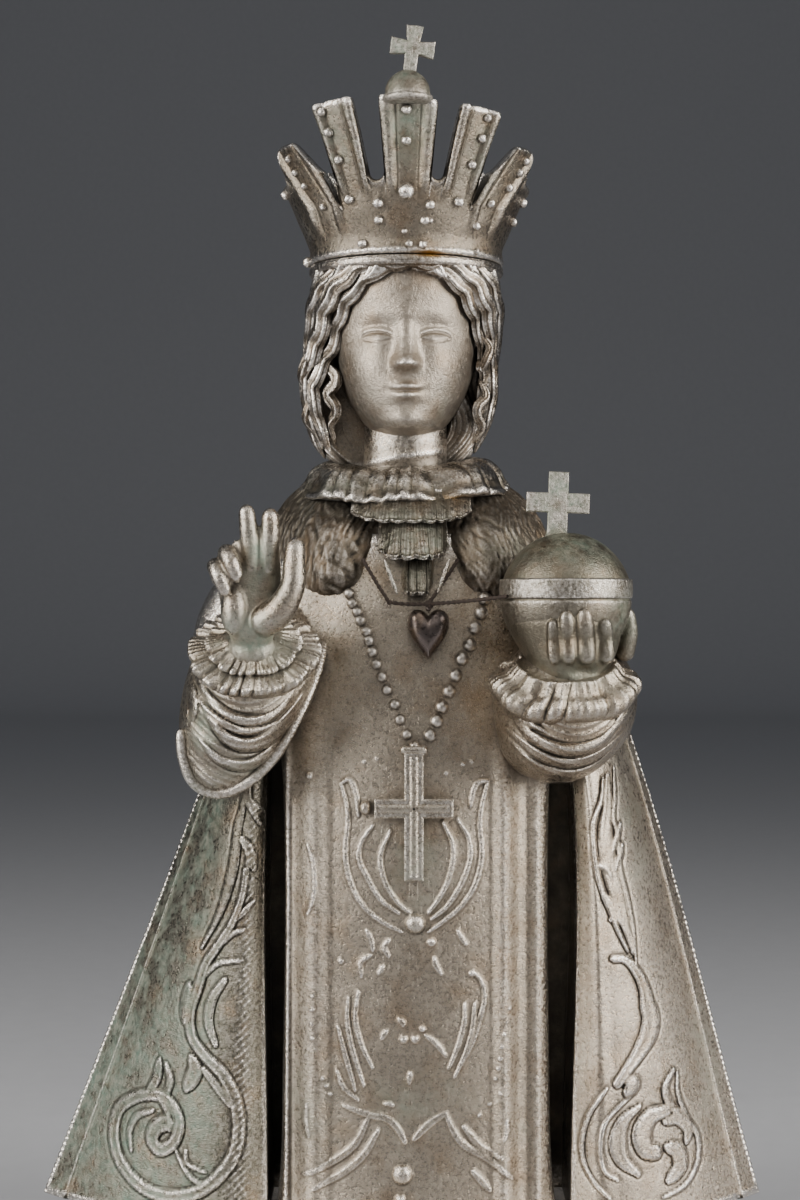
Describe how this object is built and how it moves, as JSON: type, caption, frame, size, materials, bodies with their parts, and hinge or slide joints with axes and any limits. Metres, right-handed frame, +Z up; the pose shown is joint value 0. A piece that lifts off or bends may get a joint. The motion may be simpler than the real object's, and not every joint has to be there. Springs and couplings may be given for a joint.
{
  "type": "infant of prague statue",
  "caption": "Aged cast metal statuette of a crowned child in a long gown and open mantle, one hand raised, the other holding a globe topped by a cross, with a heart pendant on a thread.",
  "frame": {"origin": "middle of the plinth's underside, at the middle of its length and depth", "axes": "+Z up from the plinth to the crown, the face and the raised hand look towards -Y, the orb is on the +X side"},
  "size_m": [0.2136, 0.1256, 0.3662],
  "materials": {
    "cast_metal": "aged silver-toned cast metal with green patina in its hollows",
    "crown_metal": "aged silver-toned cast metal, worn bright on its edges",
    "heart_metal": "smooth dark metal",
    "thread": "dark twisted thread",
    "plinth_metal": "aged cast metal, plainer and darker"
  },
  "bodies": {
    "root": {"figure": "cast_metal", "crown": "crown_metal", "heart_pendant": "heart_metal", "pendant_thread": "thread", "plinth": "plinth_metal"}
  },
  "joints": []
}
